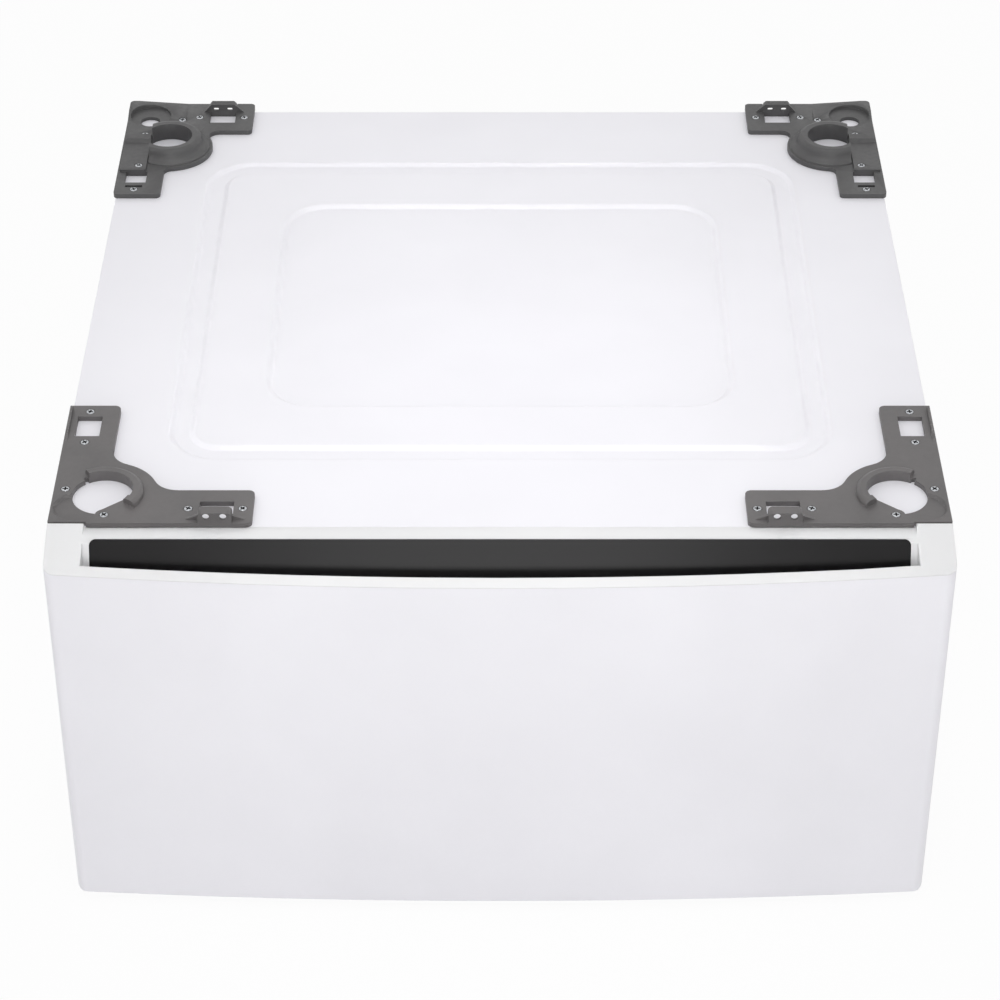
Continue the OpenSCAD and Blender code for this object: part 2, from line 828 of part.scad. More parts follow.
// Closing bumpers pressed into the side panels' front flanges
module bumpers() {
    color(rubber_black) both_sides() for (z = [70, 270])
        translate([side_x - 10, back(cabinet_y), z]) rotate([90, 0, 0])
            cylinder(h = 1.3, r = 6);
}

// ---------------------------------------------------------------- foot brackets

plate_top = deck_z + plate_t;

// A blend's round stops this much short of the edges that it joins
blend_step = 0.1;

// Fills the inside corner between a round boss and an arm's straight edge at x = edge
module blend(centre, boss_r, edge, r) {
    reach = [edge + r, centre[1] + sqrt(pow(boss_r + r, 2) - pow(edge + r - centre[0], 2))];
    difference() {
        polygon([centre, [edge, centre[1]], [edge, reach[1]], reach]);
        translate(reach) circle(r - blend_step);
    }
}

module swap() { multmatrix([[0, 1, 0, 0], [1, 0, 0, 0], [0, 0, 1, 0]]) children(); }

// Front bracket in its own frame: x in from the cabinet's side, y back from the deck's front
// edge. The plates stand out past the sides, and between the posts past the front edge.
side_over = 1.8;
front_over = 3;
post_clear_x = 27.5;
// Centre of the foot hole
front_seat = [36.5, 36];
arm_w = 38.8;
arm_d = 40.5;
side_arm = 157.5;
front_arm = 153;
front_boss_r = 42;
front_dish = [18.2, 19];
front_dish_r = 18.4;
front_window = [6, 114.5, 19.5, 27.5];
front_screws = [[15, 149], [15, 106], [7, 42.5], [40, 8.5], [103.5, 16.5], [145, 16.5]];
front_tab = [112, -front_over, 26, 9.3];
front_tab_z = 13.6;
tab_wall = 2.2;
tab_window_back = 25.5;
tab_hole_pitch = 13;
tab_hole_r = 2.7;
tab_hole_z = 10.2;

module front_outline() {
    corner = 5;
    front = -0.8;
    translate([-side_over, front]) square([arm_w + side_over, side_arm - corner - front]);
    translate([-side_over, front]) square([arm_w + side_over - corner, side_arm - front]);
    translate([arm_w - corner, side_arm - corner]) circle(corner);
    translate([post_clear_x, -front_over])
        square([front_arm - corner - post_clear_x, arm_d + front_over]);
    translate([post_clear_x, corner - front_over])
        square([front_arm - post_clear_x, arm_d + front_over - 2 * corner]);
    for (y = [corner - front_over, arm_d - corner])
        translate([front_arm - corner, y]) circle(corner);
    intersection() {
        translate(front_seat) circle(front_boss_r);
        translate([-side_over, front]) square([200, 200]);
    }
    blend(front_seat, front_boss_r, arm_w, 20);
    swap() blend([front_seat[1], front_seat[0]], front_boss_r, arm_d, 20);
}

module screw_seat(p) {
    translate([p[0], p[1], plate_t - 1.4]) cylinder(h = 4, r = 3.6);
    translate([p[0], p[1], -4]) cylinder(h = plate_t + 4, r = screw_r + 0.15);
}

// Part of a ring between two angles
module ring_sector(a0, a1) {
    rotate(a0) rotate_extrude(angle = a1 - a0, $fn = 96) children();
}

// Collar round the inner rear side of the foot hole, before the hole is cut
module front_collar() {
    top = plate_t + 5;
    translate([front_seat[0], front_seat[1], 0]) ring_sector(-36, 121) polygon([
        [front_seat_r - 6, 0], [front_seat_r + 8, 0], [front_seat_r + 8, plate_t + 2],
        [front_seat_r + 6.6, plate_t + 4.2], [front_seat_r + 4.6, top],
        [front_seat_r - 6, top]
    ]);
}

// Hooked front end of the collar, which stands into the hole
module collar_hook() {
    hook_r = front_seat_r - 2.9;
    translate([front_seat[0], front_seat[1], 0]) ring_sector(-35, -20) polygon([
        [hook_r, 0], [front_seat_r + 2, 0], [front_seat_r + 2, plate_t + 4.2],
        [hook_r + 1.2, plate_t + 4.2], [hook_r, plate_t + 3.2]
    ]);
}

// Hollow upright tab with two screw holes, a rib between them and a low ramp at each end
module front_clip_tab() {
    w = front_tab[2];
    shoulder = 3.5;
    ramp = 10;
    translate([front_tab[0], front_tab[1] + front_tab[3], 0]) rotate([90, 0, 0]) {
        difference() {
            linear_extrude(front_tab[3]) {
                translate([shoulder, 0]) square([w - 2 * shoulder, front_tab_z]);
                square([w, front_tab_z - shoulder]);
                for (x = [shoulder, w - shoulder])
                    translate([x, front_tab_z - shoulder]) circle(shoulder);
            }
            translate([tab_wall, -1, -1])
                cube([w - 2 * tab_wall, front_tab_z - tab_wall + 1, front_tab[3] - tab_wall + 1]);
            for (s = [-1, 1])
                translate([w / 2 + s * tab_hole_pitch / 2, tab_hole_z, 0])
                    cylinder(h = 3 * front_tab[3], r = tab_hole_r, center = true);
        }
        translate([w / 2 - 1, 0, 3]) cube([2, front_tab_z - 1, front_tab[3] - 4]);
        translate([0, 0, 1.5]) linear_extrude(3) for (s = [0, 1])
            translate([w / 2, 0]) mirror([s, 0]) polygon([
                [w / 2 - 1, 0], [w / 2 + ramp, 0], [w / 2 + ramp, plate_t],
                [w / 2 - 1, plate_t + 4]
            ]);
    }
}

module front_bracket() {
    boss_r = 7;
    flat_angle = 39.8;
    color(bracket_grey) difference() {
        union() {
            difference() {
                union() {
                    linear_extrude(plate_t) front_outline();
                    front_collar();
                }
                // foot hole, shallow dish at the outer corner, and window in the side arm
                translate([front_seat[0], front_seat[1], -1])
                    cylinder(h = plate_t + 8, r = front_seat_r);
                translate([front_dish[0], front_dish[1], plate_t - 2.4])
                    cylinder(h = 3, r1 = front_dish_r - 2, r2 = front_dish_r + 0.5);
                translate([front_window[0], front_window[1], -1])
                    cube([front_window[2], front_window[3], plate_t + 2]);
                translate([front_tab[0], front_tab[1] - 1, -1])
                    cube([front_tab[2], tab_window_back - front_tab[1] + 1, plate_t + 2]);
            }
            collar_hook();
            front_clip_tab();
            // screw boss that stands into the hole, with the flat that runs on to the hook
            intersection() {
                translate([front_seat[0], front_seat[1], 0])
                    cylinder(h = plate_t, r = front_seat_r + 2.5);
                translate([front_screws[3][0], front_screws[3][1], 0]) union() {
                    cylinder(h = plate_t, r = boss_r);
                    rotate(flat_angle) translate([0, -9, 0]) cube([26, 15.6, plate_t]);
                }
            }
            // fin outside the window, higher towards the rear, with a small catch on it
            translate([-0.8, 0, 0]) rotate([90, 0, 90]) linear_extrude(2) polygon([
                [106, 0], [152, 0], [152, plate_t + 3.4], [149, plate_t + 3.6],
                [128, plate_t + 2.2], [126, plate_t + 3], [122, plate_t + 3],
                [120, plate_t + 1.6], [106, plate_t]
            ]);
        }
        for (p = front_screws) screw_seat(p);
        // groove where the collar begins
        translate([front_seat[0], front_seat[1], 0]) rotate(127)
            translate([front_seat_r + 1.1, 0, -1]) cylinder(h = plate_t + 8, r = 1.9);
        // relief that keeps the overhang clear of the drawer front
        translate([-side_over - 1, -front_over - 1, -1])
            cube([front_arm + side_over + 2, front_over + 1, 1.5]);
    }
}

module at_front_left() { translate([-side_x, back(cabinet_y), deck_z]) children(); }

module bracket_front_left() { at_front_left() front_bracket(); }
module bracket_front_right() { mirror([1, 0, 0]) bracket_front_left(); }

// Rear bracket in its own frame: x in from the cabinet's side, y forward from its rear edge
// Centre of the foot seat
rear_seat = [41, 81];
rear_side_arm = 168;
rear_arm_w = 39.5;
rear_arm_d = 51.5;
rear_inner_arm = 113.5;
rear_flange_r = 38.8;
rear_dish = [19, 25];
rear_dish_r = 18.5;
rear_rim = 3.2;
rear_screws = [[64, 26], [105, 26], [16.5, 58.5], [48.5, 31], [16.5, 119.5], [15.5, 159]];
rear_window = [6, 128, 19, 19];
rear_tab_x = [67.5, 104.5];
rear_tab_y = 16.6;
rear_tab_t = 2.5;
rear_tab_z = 13;
rear_tab_window = [73.5, 23.5, 19.6];
slot_pitch = 12.5;
slot_r = 1.3;
slot_len = 5;
collar_open_x = 24.5;

module rear_outline() {
    corner = 4;
    left = -side_over;
    translate([left, corner]) square([rear_arm_w - left, rear_side_arm - 2 * corner]);
    translate([left + corner, 0]) square([rear_arm_w - left - 2 * corner, rear_side_arm]);
    for (x = [left + corner, rear_arm_w - corner])
        translate([x, rear_side_arm - corner]) circle(corner);
    translate([left + corner, corner]) circle(corner);
    translate([left + corner, 0]) square([rear_inner_arm - left - 2 * corner, rear_arm_d]);
    translate([left + corner, corner])
        square([rear_inner_arm - left - corner, rear_arm_d - 2 * corner]);
    for (y = [corner, rear_arm_d - corner])
        translate([rear_inner_arm - corner, y]) circle(corner);
    translate(rear_seat) circle(rear_flange_r);
    blend(rear_seat, rear_flange_r, rear_arm_w, 7);
    arm_blend(9);
}

// Fills the corner between the flange and the front edge of the inner arm
module arm_blend(r) {
    drop = rear_seat[1] - rear_arm_d - r;
    reach = rear_seat[0] + sqrt(pow(rear_flange_r + r, 2) - drop * drop);
    difference() {
        polygon([rear_seat, [rear_seat[0], rear_arm_d], [reach, rear_arm_d],
                 [reach, rear_arm_d + r]]);
        translate([reach, rear_arm_d + r]) circle(r - blend_step);
    }
}

// Foot collar: a tall ring on a stepped flange, cut straight and open towards the outside
module rear_collar() {
    translate([rear_seat[0], rear_seat[1], 0]) difference() {
        rotate_extrude($fn = 96) polygon([
            [0, 0], [rear_flange_r - 2.2, 0], [rear_flange_r - 2.2, plate_t + 0.8],
            [rear_flange_r - 3.6, plate_t + 2], [rear_seat_r + 11, plate_t + 3],
            [rear_seat_r + 9.2, plate_t + 5], [rear_seat_r + 8.2, rear_collar_h - 2],
            [rear_seat_r + 6.6, rear_collar_h - 0.4], [rear_seat_r + 4.6, rear_collar_h],
            [0, rear_collar_h]
        ]);
        translate([-rear_seat[0] - 5, -50, plate_t])
            cube([collar_open_x + 5, 100, rear_collar_h]);
    }
}

// Upright tab whose hood reaches back over a notch, narrowing to its top
module rear_tab() {
    hood_back = rear_tab_y - 6.2;
    x0 = rear_tab_x[0];
    x1 = rear_tab_x[1];
    front_z = rear_tab_z - 0.8;
    intersection() {
        translate([x0, 0, 0]) rotate([90, 0, 90]) linear_extrude(x1 - x0) polygon([
            [rear_tab_y, 0], [rear_tab_y, front_z], [hood_back, rear_tab_z],
            [hood_back, rear_tab_z - 2], [rear_tab_y - rear_tab_t, front_z - 2.4],
            [rear_tab_y - rear_tab_t, 0]
        ]);
        translate([0, rear_tab_y + 5, 0]) rotate([90, 0, 0]) linear_extrude(20) polygon([
            [x0, 0], [x1, 0], [x1, plate_t], [x1 - 10, rear_tab_z + 0.5],
            [x0 + 8, rear_tab_z + 0.5], [x0, plate_t]
        ]);
    }
}

// The plate rises towards the outer rear corner, round the dish
module rear_corner_rise() {
    run = 52;
    intersection() {
        translate([0, 40, 0]) rotate([90, 0, 0]) linear_extrude(40) polygon([
            [-side_over, 0], [run, 0], [run, plate_t], [6, plate_t + rear_rim],
            [-side_over, plate_t + rear_rim]
        ]);
        translate([-side_over, 0, 0]) rotate([90, 0, 90]) linear_extrude(run + side_over + 1)
            polygon([
                [0, 0], [34, 0], [34, plate_t], [18, plate_t + rear_rim],
                [0, plate_t + rear_rim]
            ]);
        linear_extrude(20) rear_outline();
    }
}

// Raised field of the side arm, between the window and the ramp block beside the collar
module rear_arm_field() {
    translate([0, 62, 0]) rotate([90, 0, 90]) linear_extrude(collar_open_x - 1) polygon([
        [0, 0], [66, 0], [66, plate_t + 2.2], [63, plate_t + 2.4], [15, plate_t + 1.4],
        [12, plate_t + 4.4], [4, plate_t + 4.6], [0, plate_t]
    ]);
}

module rear_bracket() {
    color(bracket_grey) difference() {
        union() {
            difference() {
                union() {
                    linear_extrude(plate_t) rear_outline();
                    rear_collar();
                }
                intersection() {
                    translate([rear_seat[0], rear_seat[1], -1])
                        cylinder(h = rear_collar_h + 2, r = rear_seat_r);
                    translate([collar_open_x, 0, -1]) cube([80, 150, rear_collar_h + 2]);
                }
            }
            rear_corner_rise();
            rear_arm_field();
        }
        // dish and through hole at the outer corner
        translate([rear_dish[0], rear_dish[1], plate_t - 1])
            cylinder(h = 30, r = rear_dish_r);
        translate([rear_dish[0], rear_dish[1] + 7.5, -1]) cylinder(h = 20, r = 8.9);
        // windows in the side arm and in front of the tab, and a shallow slot
        translate([rear_window[0], rear_window[1], -1])
            cube([rear_window[2], rear_window[3], plate_t + 2]);
        translate([7.5, 152, plate_t - 2]) cube([15, 3.4, 4]);
        translate([rear_tab_window[0], rear_tab_y, -1])
            cube([rear_tab_window[1], rear_tab_window[2], plate_t + 2]);
        // notch behind the tab, which leaves its slots open to the rear
        translate([rear_tab_window[0], -1, -1])
            cube([rear_tab_window[1], rear_tab_y - rear_tab_t + 1, plate_t + 2]);
        for (p = rear_screws) translate([0, 0, rear_seat_lift(p)]) screw_seat(p);
    }
    color(bracket_grey) difference() {
        rear_tab();
        for (s = [-1, 1])
            translate([(rear_tab_x[0] + rear_tab_x[1]) / 2 - 1 + s * slot_pitch / 2,
                       rear_tab_y - rear_tab_t - 1, plate_t + 3.2])
                rotate([-90, 0, 0]) linear_extrude(rear_tab_t + 2) {
                    square([slot_len - 2 * slot_r, 2 * slot_r], center = true);
                    for (e = [-1, 1])
                        translate([e * (slot_len / 2 - slot_r), 0]) circle(slot_r);
                }
    }
}

// The screw in the raised field sits higher than the others
function rear_seat_lift(p) = p[1] > 61 && p[1] < 126 ? 2 : 0;

module at_rear_left() {
    translate([-side_x, back(overall_d), deck_z]) mirror([0, 1, 0]) children();
}

module bracket_rear_left() { at_rear_left() rear_bracket(); }
module bracket_rear_right() { mirror([1, 0, 0]) bracket_rear_left(); }

module at_bracket_screws() {
    both_sides() {
        at_front_left() for (p = front_screws) translate([p[0], p[1], 0]) children();
        at_rear_left() for (p = rear_screws)
            translate([p[0], p[1], rear_seat_lift(p)]) children();
    }
}

module bracket_screw_holes(z, h) {
    translate([0, 0, z - deck_z]) at_bracket_screws() cylinder(h = h, r = screw_r + 0.15);
}

// Pan-head screws seated in the plates and driven through the deck
module bracket_screws() {
    color(zinc) at_bracket_screws() {
        translate([0, 0, plate_t - 1.4]) cylinder(h = 1.6, r = 3.3);
        translate([0, 0, -8]) cylinder(h = plate_t + 7, r = screw_r);
    }
}

side_panel_left();
side_panel_right();
back_panel();
top_deck();
deck_stiffeners();
front_upright_left();
front_upright_right();
rear_upright_left();
rear_upright_right();
lower_front_rail();
lower_rear_rail();
base_gussets();
foot_nuts();
lock_nuts();
slide_mount_left();
slide_mount_right();
slide_outer_left();
slide_outer_right();
bracket_front_left();
bracket_front_right();
bracket_rear_left();
bracket_rear_right();
bracket_screws();
panel_screws();
slide_rivets();
bumpers();
front_panel();
top_cap();
handle_strip();
front_inner_plate();
tray_floor();
tray_side_left();
tray_side_right();
tray_back();
tray_screws();
slide_inner_left();
slide_inner_right();
lever_pins();
release_lever_left();
release_lever_right();
slide_middle_left();
slide_middle_right();
outer_cage_left();
outer_cage_right();
outer_balls_left();
outer_balls_right();
inner_cage_left();
inner_cage_right();
inner_balls_left();
inner_balls_right();
foot_pad_front_left();
foot_pad_front_right();
foot_pad_rear_left();
foot_pad_rear_right();
foot_stud_front_left();
foot_stud_front_right();
foot_stud_rear_left();
foot_stud_rear_right();
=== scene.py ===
import json
import math
import bmesh
import bpy
from mathutils import Matrix, Vector


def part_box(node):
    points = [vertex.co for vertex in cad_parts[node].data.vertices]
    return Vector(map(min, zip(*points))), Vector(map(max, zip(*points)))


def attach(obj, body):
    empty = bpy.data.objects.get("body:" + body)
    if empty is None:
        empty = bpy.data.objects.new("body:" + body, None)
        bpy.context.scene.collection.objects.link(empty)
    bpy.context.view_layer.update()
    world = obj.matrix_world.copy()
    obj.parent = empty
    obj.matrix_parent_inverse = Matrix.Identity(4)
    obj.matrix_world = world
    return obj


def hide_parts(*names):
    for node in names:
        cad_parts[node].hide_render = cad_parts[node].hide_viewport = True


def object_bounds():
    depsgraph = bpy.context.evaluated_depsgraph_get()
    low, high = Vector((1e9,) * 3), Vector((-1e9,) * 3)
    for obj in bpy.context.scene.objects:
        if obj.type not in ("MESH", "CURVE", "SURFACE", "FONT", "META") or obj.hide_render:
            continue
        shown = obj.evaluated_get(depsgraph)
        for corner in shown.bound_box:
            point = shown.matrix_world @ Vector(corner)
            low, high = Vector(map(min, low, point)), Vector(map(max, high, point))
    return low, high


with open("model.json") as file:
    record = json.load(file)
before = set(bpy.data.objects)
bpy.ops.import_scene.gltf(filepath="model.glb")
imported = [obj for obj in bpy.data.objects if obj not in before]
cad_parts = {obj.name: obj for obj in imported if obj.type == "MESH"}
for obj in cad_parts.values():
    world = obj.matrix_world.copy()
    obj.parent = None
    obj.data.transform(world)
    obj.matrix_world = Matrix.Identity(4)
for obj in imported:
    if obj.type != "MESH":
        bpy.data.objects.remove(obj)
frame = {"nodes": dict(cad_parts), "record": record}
cad_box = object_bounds()
scene = bpy.context.scene
scene.view_settings.view_transform = "Standard"


# ------------------------------------------------------------------ studio
# A pale floor that runs on behind the pedestal, four soft lamps and the camera, which looks
# down on the deck and on the drawer front from straight ahead.
def add(tree, kind, links=None, **settings):
    """Adds a shader node, sets its sockets and properties, and joins its inputs."""
    node = tree.nodes.new("ShaderNode" + kind)
    for name, value in settings.items():
        socket = name.replace("_", " ")
        if socket in node.inputs:
            node.inputs[socket].default_value = value
        else:
            setattr(node, name, value)
    for name, source in (links or {}).items():
        tree.links.new(source, node.inputs[name])
    return node


def srgb(code):
    """Turns a hex colour such as "#f0f0f0" to the linear colour that a shader reads."""
    parts = [int(code[i:i + 2], 16) / 255 for i in (1, 3, 5)]
    return [c / 12.92 if c <= 0.04045 else ((c + 0.055) / 1.055) ** 2.4 for c in parts] + [1]


def seen_directly(tree, share):
    """The share where the camera, a reflection or glass looks at the surface, and else 0."""
    path = add(tree, "LightPath")
    camera_or_gloss = add(tree, "Math", {0: path.outputs["Is Camera Ray"],
                                         1: path.outputs["Is Glossy Ray"]}, operation="MAXIMUM")
    any_sight = add(tree, "Math", {0: camera_or_gloss.outputs[0],
                                   1: path.outputs["Is Transmission Ray"]}, operation="MAXIMUM")
    scaled = add(tree, "Math", {0: any_sight.outputs[0]}, operation="MULTIPLY")
    scaled.inputs[1].default_value = share
    return scaled.outputs[0]


backdrop_share = 0.95
floor_paint = bpy.data.materials.new("studio_floor_paint")
floor_paint.use_nodes = True
tree = floor_paint.node_tree
tree.nodes.clear()
matt = add(tree, "BsdfDiffuse", Color=srgb("#e0e0e0"))
white = add(tree, "Emission", Color=(1, 1, 1, 1), Strength=1.0)
mixed = add(tree, "MixShader", {0: seen_directly(tree, backdrop_share),
                                1: matt.outputs[0], 2: white.outputs[0]})
add(tree, "OutputMaterial", {"Surface": mixed.outputs[0]})

floor_mesh = bpy.data.meshes.new("studio_floor")
bm = bmesh.new()
bmesh.ops.create_circle(bm, cap_ends=True, segments=64, radius=14)
bm.to_mesh(floor_mesh)
bm.free()
floor = bpy.data.objects.new("studio_floor", floor_mesh)
floor.data.materials.append(floor_paint)
scene.collection.objects.link(floor)

world = bpy.data.worlds.new("studio_air")
scene.world = world
world.use_nodes = True
tree = world.node_tree
tree.nodes.clear()
ambient = add(tree, "Background", Color=srgb("#ffffff"), Strength=0.75)
clear_white = add(tree, "Background", Color=(1, 1, 1, 1), Strength=1.0)
mixed = add(tree, "MixShader", {0: seen_directly(tree, 1), 1: ambient.outputs[0],
                                2: clear_white.outputs[0]})
add(tree, "OutputWorld", {"Surface": mixed.outputs[0]})


def lamp(name, place, aim, size, watts, spread=180):
    """A soft rectangular lamp; a small spread stands for a grid on its front."""
    light = bpy.data.lights.new(name, "AREA")
    light.shape = "RECTANGLE"
    light.size, light.size_y = size
    light.energy = watts
    light.spread = math.radians(spread)
    holder = bpy.data.objects.new(name, light)
    scene.collection.objects.link(holder)
    holder.location = place
    holder.rotation_euler = (Vector(aim) - Vector(place)).to_track_quat("-Z", "Y").to_euler()


lamp("overhead_grid_softbox", (0, -0.1, 3.0), (0, 0.12, 0.34), (0.35, 1.0), 0.3, 30)
lamp("front_grid_softbox", (0, -0.9, 2.7), (0, -0.28, 0.34), (0.3, 0.8), 0.52, 30)
lamp("low_front_softbox", (0, -3.0, 0.8), (0, -0.3, 0.3), (1.0, 0.5), 10)
lamp("strip_reflector", (0, -3.2, 1.38), (0, -0.3, 0.33), (0.8, 0.8), 4)

camera_distance = 1.828
camera_height = 1.7037
camera_pitch = 37.241
camera_data = bpy.data.cameras.new("photo_view")
camera_data.sensor_width = 36
camera_data.lens = 110.43
camera_data.shift_y = 0.1
camera = bpy.data.objects.new("photo_view", camera_data)
scene.collection.objects.link(camera)
camera.location = (0, cad_box[0][1] - camera_distance, camera_height)
camera.rotation_euler = (math.radians(90 - camera_pitch), 0, 0)
scene.camera = camera


# ------------------------------------------------------------------ base corners and cross rails
# Corner plates, posts, rails and the hat sections under the deck are pressed from hot-dip
# galvanised sheet and spot welded. Its zinc crystals show as a faint patchwork of greys.
def new_material(name):
    """An empty material and its node tree."""
    material = bpy.data.materials.new(name)
    material.use_nodes = True
    material.node_tree.nodes.clear()
    return material, material.node_tree


def pattern_place(tree, size_mm):
    """Object coordinates scaled so that one unit of a pattern is size_mm on the object."""
    place = add(tree, "TexCoord")
    scaled = add(tree, "Mapping", {"Vector": place.outputs["Object"]})
    scaled.inputs["Scale"].default_value = [1000 / size_mm] * 3
    return scaled.outputs[0]


def drift(tree, size_mm):
    """A soft value from 0 to 1 that wanders over size_mm."""
    noise = add(tree, "TexNoise", {"Vector": pattern_place(tree, size_mm)}, Scale=1.0, Detail=3.0)
    return noise.outputs["Fac"]


def between(tree, value, low, high, start=0.3, end=0.7):
    """A colour or grey that goes from low to high as the value passes from start to end."""
    ramp = add(tree, "ValToRGB", {0: value})
    for element, place, colour in zip(ramp.color_ramp.elements, (start, end), (low, high)):
        element.position = place
        element.color = srgb(colour) if isinstance(colour, str) else [colour] * 3 + [1]
    return ramp.outputs[0]


def grain(tree, size_mm, depth_mm):
    """Bump from a noise whose grains are size_mm wide and depth_mm deep."""
    noise = add(tree, "TexNoise", {"Vector": pattern_place(tree, size_mm)}, Scale=1.0, Detail=2.0)
    return add(tree, "Bump", {"Height": noise.outputs["Fac"]}, Strength=1.0,
               Distance=depth_mm / 1000).outputs[0]


def surface(tree, colour, roughness, normal, **settings):
    """Ends a material with one shader, fed by its patterns of colour, roughness and bump."""
    shader = add(tree, "BsdfPrincipled", {"Base Color": colour, "Roughness": roughness,
                                          "Normal": normal}, **settings)
    add(tree, "OutputMaterial", {"Surface": shader.outputs[0]})


galvanised_sheet, tree = new_material("galvanised_steel_sheet")
crystals = add(tree, "TexVoronoi", {"Vector": pattern_place(tree, 7)}, Scale=1.0)
crystal_grey = add(tree, "SeparateColor", {0: crystals.outputs["Color"]}).outputs[0]
surface(tree, between(tree, crystal_grey, "#a3a6a9", "#b9bcbf", 0.1, 0.9),
        between(tree, crystal_grey, 0.36, 0.48, 0.1, 0.9), grain(tree, 3, 0.01), Metallic=1.0)

body_of_node = {node: body for body, nodes in frame["record"]["behaviour"]["bodies"].items()
                for node in nodes}


def place_piece(name, mesh, material, node):
    """Links a finished mesh in place of a CAD node, on the body that the node rides."""
    piece = bpy.data.objects.new(name, mesh)
    piece.data.materials.append(material)
    scene.collection.objects.link(piece)
    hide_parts(node)
    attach(piece, body_of_node[node])
    return piece


least_bend, most_bend = 0.004, 0.35   # radians between two facets of one curve
wall_to_facet = 8                     # how many times a facet's area a flat wall has
weld_gap = 2e-6                       # metres between two vertices of a CAD node that are one


def shade_by_form(bm):
    """Smooth shading on curved faces only. A face far larger than the facets it runs into
    is a flat wall at the end of a curve, and keeps its own normal."""
    for face in bm.faces:
        facets = [other.calc_area() for edge in face.edges
                  if edge.is_manifold and least_bend < edge.calc_face_angle(0) < most_bend
                  for other in edge.link_faces if other is not face]
        face.smooth = bool(facets) and face.calc_area() < wall_to_facet * max(facets)


def eased_copy(node, suffix, material, edge_mm, wide_mm=0, is_wide=None, segments=2,
               first=None, sharp_degrees=40, mirror_of=None):
    """The node's shape with its sharp edges rounded: edge_mm wide, or wide_mm where
    is_wide says so of an edge's middle, in millimetres. The function first may work on
    the shape before that. mirror_of names the left-hand node of a mirrored pair."""
    bm = bmesh.new()
    bm.from_mesh(frame["nodes"][mirror_of or node].data)
    bmesh.ops.remove_doubles(bm, verts=bm.verts, dist=weld_gap)
    bmesh.ops.dissolve_limit(bm, angle_limit=math.radians(0.5), verts=bm.verts, edges=bm.edges)
    if mirror_of:
        bmesh.ops.scale(bm, verts=bm.verts, vec=(-1, 1, 1))
        bmesh.ops.reverse_faces(bm, faces=bm.faces)
    if first:
        first(bm)
    shade_by_form(bm)
    sharp = math.radians(sharp_degrees)
    weight = bm.edges.layers.float.new("bevel_weight_edge")
    most = max(edge_mm, wide_mm)
    for edge in bm.edges:
        if not edge.is_manifold or edge.calc_face_angle(0) < sharp:
            continue
        middle = (edge.verts[0].co + edge.verts[1].co) * (1000 / 2)
        wide = is_wide is not None and is_wide(middle)
        edge[weight] = (wide_mm if wide else edge_mm) / most
    mesh = bpy.data.meshes.new(node + suffix)
    bm.to_mesh(mesh)
    bm.free()
    piece = place_piece(node + suffix, mesh, material, node)
    rounding = piece.modifiers.new("rounded_edges", "BEVEL")
    rounding.limit_method = "WEIGHT"
    rounding.width = most / 1000
    rounding.segments = segments
    rounding.use_clamp_overlap = False
    rounding.harden_normals = True
    return piece


for name in ("base_gussets", "front_upright_left", "front_upright_right", "rear_upright_left",
             "rear_upright_right", "lower_front_rail", "lower_rear_rail", "deck_stiffeners",
             "slide_mount_left", "slide_mount_right"):
    eased_copy(name, "_pressing", galvanised_sheet, edge_mm=0.4)


# ------------------------------------------------------------------ side panels and back panel
# Cold-rolled steel sheet, folded on a press brake and powder coated white. The coat rounds
# the folded edges and has a faint orange peel, which only shows in the reflections.
powder_coat, tree = new_material("white_powder_coat_on_steel")
surface(tree, between(tree, drift(tree, 140), "#eeedf2", "#f2f1f6"),
        between(tree, drift(tree, 60), 0.36, 0.42), grain(tree, 2.4, 0.012), IOR=1.5)

for name in ("side_panel_left", "side_panel_right"):
    eased_copy(name, "_folded", powder_coat, edge_mm=0.5)

panel_sheet, rib_depth = 0.0012, 0.008     # metres, as in the node's mesh
rib_feet = (0.095, 0.235)                  # each rib's lower edge, up from the floor
same_place = 1e-5


def close_rib_ends(bm):
    """Adds the pressed end walls of the back panel's two ribs, as thick as its sheet."""
    bottom = min(vert.co.y for vert in bm.verts)
    reach = max(vert.co.x for vert in bm.verts if vert.co.y < bottom + same_place)
    inner = bottom + panel_sheet / 2
    for foot in rib_feet:
        for end in (-reach, reach - panel_sheet):
            corners = ((inner + rib_depth, foot), (inner, foot + rib_depth),
                       (inner, foot + 2 * rib_depth), (inner + rib_depth, foot + 3 * rib_depth))
            wall = bm.faces.new([bm.verts.new((end, y, z)) for y, z in corners])
            grown = bmesh.ops.extrude_face_region(bm, geom=[wall])["geom"]
            bmesh.ops.translate(bm, vec=(panel_sheet, 0, 0), verts=[
                item for item in grown if isinstance(item, bmesh.types.BMVert)])
    bmesh.ops.recalc_face_normals(bm, faces=bm.faces)


eased_copy("back_panel", "_folded", powder_coat, edge_mm=0.3, first=close_rib_ends)


# ------------------------------------------------------------------ deck
# One pressed and folded sheet, coated with the panels. The press draws its steps with wide
# soft radii, where the coat's gloss makes thin light and dark lines.
deck_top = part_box("top_deck")[1].z * 1000
deck_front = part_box("top_deck")[0].y
pressing_half_width, pressing_middle_y, pressing_half_depth = 265, 21.5, 239
deepest_step = 6                           # millimetres, as in the lines around this one
front_gap = 0.0014                         # metres


def is_press_step(middle):
    """True for the steps of the channel and of the sunk panel, and not for the folded rims."""
    return (abs(middle.x) < pressing_half_width
            and abs(middle.y - pressing_middle_y) < pressing_half_depth
            and middle.z > deck_top - deepest_step)


def close_front_gap(bm):
    """Brings the deck's front fold up to the drawer's cap, with a tenth of a millimetre left."""
    front = [vert for vert in bm.verts if vert.co.y < deck_front + same_place]
    bmesh.ops.translate(bm, verts=front, vec=(0, -front_gap, 0))


eased_copy("top_deck", "_pressed", powder_coat, edge_mm=0.45, wide_mm=1.0,
           is_wide=is_press_step, segments=3, first=close_front_gap, sharp_degrees=15)


